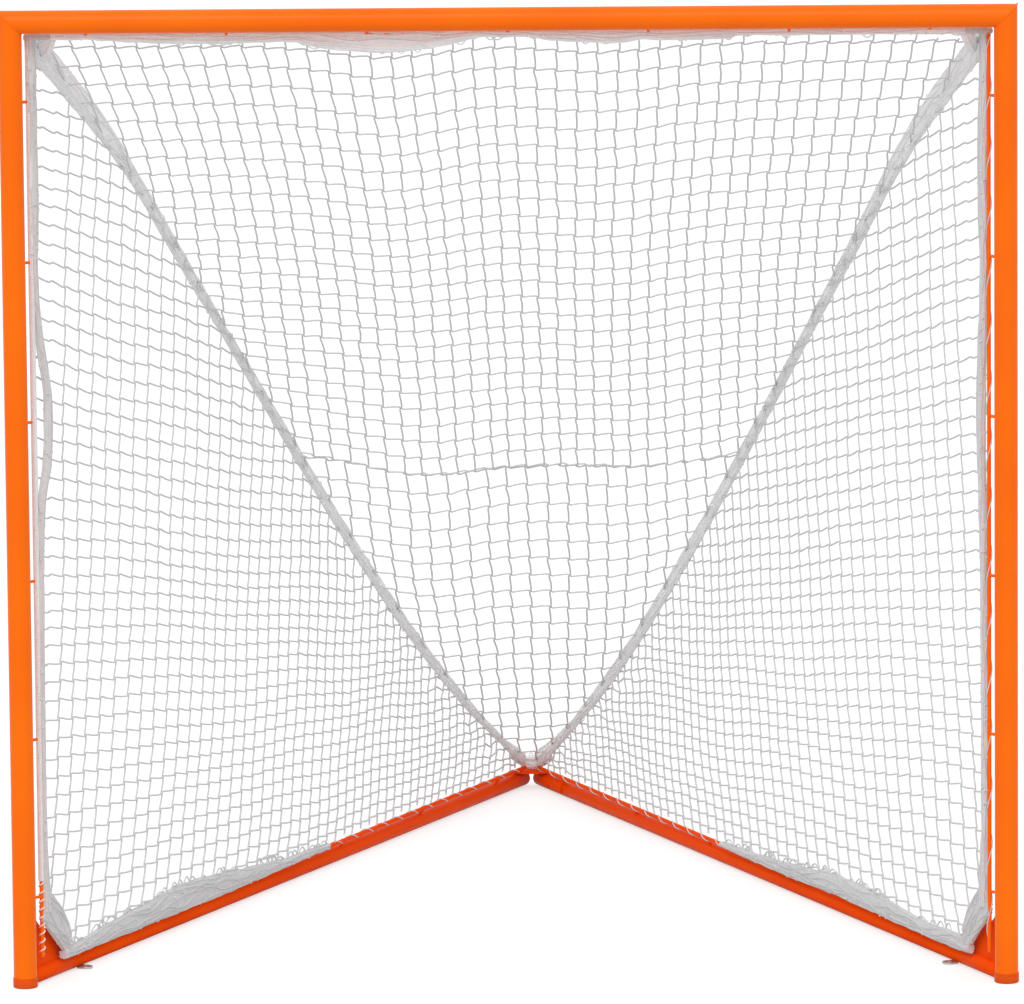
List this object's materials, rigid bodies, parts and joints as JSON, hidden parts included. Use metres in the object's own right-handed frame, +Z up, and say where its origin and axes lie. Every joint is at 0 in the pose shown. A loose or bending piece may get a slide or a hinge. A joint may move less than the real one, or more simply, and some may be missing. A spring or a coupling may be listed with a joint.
{
  "type": "lacrosse goal",
  "caption": "Welded tube goal with a square mouth, a V-shaped ground base, lacing rods and a white net that slopes down to the rear apex.",
  "frame": {"origin": "on the ground, under the middle of the goal's overall length and width", "axes": "+Z up, +Y from the mouth back to the apex of the base, +X to the right as a shooter sees it"},
  "size_m": [1.9206, 2.124, 1.8735],
  "materials": {
    "orange_paint": "glossy orange paint over steel tube",
    "orange_cap": "moulded orange plastic, slightly duller than the paint",
    "bare_steel": "plated steel, dulled",
    "net_cord": "white braided cord, matte"
  },
  "bodies": {
    "root": {"left_post": "orange_paint", "right_post": "orange_paint", "crossbar": "orange_paint", "left_foot_cap": "orange_cap", "right_foot_cap": "orange_cap", "left_corner_stub": "orange_paint", "right_corner_stub": "orange_paint", "left_corner_gusset": "orange_paint", "right_corner_gusset": "orange_paint", "left_base_rail": "orange_paint", "right_base_rail": "orange_paint", "right_apex_stub": "orange_paint", "right_rail_saddle": "orange_paint", "left_rail_end_cap": "orange_cap", "right_apex_end_cap": "orange_cap", "apex_plate": "orange_paint", "left_rail_lock_screw": "bare_steel", "right_rail_lock_screw": "bare_steel", "apex_lock_screw": "bare_steel", "left_anchor_tab": "bare_steel", "right_anchor_tab": "bare_steel", "crossbar_lacing_rod": "orange_paint", "left_post_lacing_rod": "orange_paint", "right_post_lacing_rod": "orange_paint", "left_base_lacing_rod": "orange_paint", "right_base_lacing_rod": "orange_paint", "left_corner_lacing_rod": "orange_paint", "right_corner_lacing_rod": "orange_paint", "back_net": "net_cord", "left_side_net": "net_cord", "right_side_net": "net_cord", "left_seam_cord": "net_cord", "right_seam_cord": "net_cord"}
  },
  "joints": []
}
